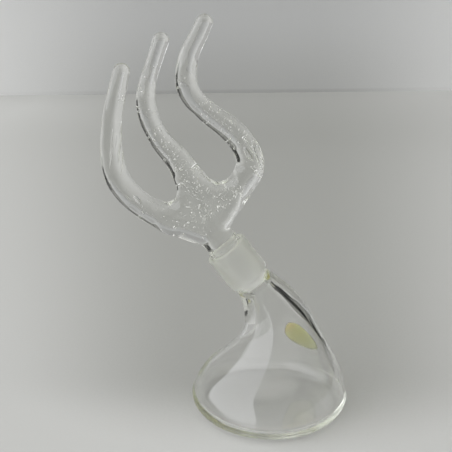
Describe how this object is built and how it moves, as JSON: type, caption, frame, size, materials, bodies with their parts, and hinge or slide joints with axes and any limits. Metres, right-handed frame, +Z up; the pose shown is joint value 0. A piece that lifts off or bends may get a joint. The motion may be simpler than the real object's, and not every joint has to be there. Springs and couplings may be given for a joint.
{
  "type": "scent bottle",
  "caption": "Leaning hand-blown glass flask with a bent neck and a ground socket, closed by a solid glass stopper with three curved prongs that lifts out along the neck.",
  "frame": {"origin": "middle of the flat foot, on the surface that the bottle stands on", "axes": "+Z up, the neck and stopper lean towards -X, -Y faces the picture's camera"},
  "size_m": [0.1016, 0.0666, 0.1657],
  "materials": {
    "clear_glass": "clear, faintly green at thick places, frosted where the joint is ground",
    "yellow_film": "matt yellow film, bare"
  },
  "bodies": {
    "flask": {"bottle": "clear_glass", "oval_label": "yellow_film"},
    "stopper": {"stopper": "clear_glass"}
  },
  "joints": [
    {"name": "stopper_lift", "type": "slide", "parent": "flask", "child": "stopper", "axis": [-0.6018, 0, 0.7986], "range_m": [0, 0.025]}
  ]
}
